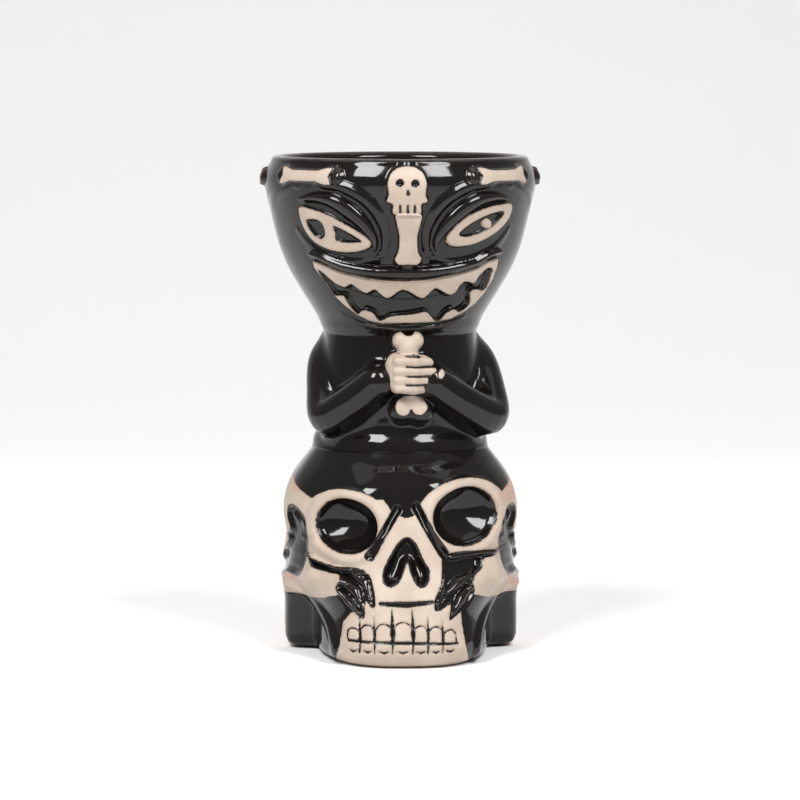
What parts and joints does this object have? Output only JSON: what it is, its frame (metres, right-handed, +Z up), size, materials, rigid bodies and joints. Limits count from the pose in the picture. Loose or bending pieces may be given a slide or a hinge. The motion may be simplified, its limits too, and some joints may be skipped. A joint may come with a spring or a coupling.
{
  "type": "tiki mug",
  "caption": "Ceramic drinking mug shaped as a grinning carved head on a torso gripping a bone, standing on a skull; one open bowl at the top.",
  "frame": {"origin": "on the cup's axis, at the base plane the mug stands on", "axes": "+Z up through the open rim, -Y out of the face, +X towards the figure's own left"},
  "size_m": [0.0942, 0.106, 0.163],
  "materials": {
    "black_glaze": "glossy black glaze with a broad soft sheen",
    "bare_clay": "semi-matte tan clay, wiped back to bare",
    "brushed_skull": "semi-matte tan clay with black glaze brushed over the crown, sockets, nose and cheeks"
  },
  "bodies": {
    "root": {"forehead_skull": "bare_clay", "gripping_hand": "bare_clay", "head_cup": "black_glaze", "held_bone": "bare_clay", "left_arm": "black_glaze", "left_brow": "black_glaze", "left_eye": "bare_clay", "left_eyelid": "black_glaze", "lower_teeth": "bare_clay", "nose_bone": "bare_clay", "right_arm": "black_glaze", "right_brow": "black_glaze", "right_eye": "bare_clay", "right_eyelid": "black_glaze", "rim_bone_back_left": "bare_clay", "rim_bone_back_right": "bare_clay", "rim_bone_front_left": "bare_clay", "rim_bone_front_right": "bare_clay", "rim_bone_side_left": "bare_clay", "rim_bone_side_right": "bare_clay", "skull_base": "brushed_skull", "torso": "black_glaze", "upper_lip": "black_glaze", "upper_teeth": "bare_clay"}
  },
  "joints": []
}
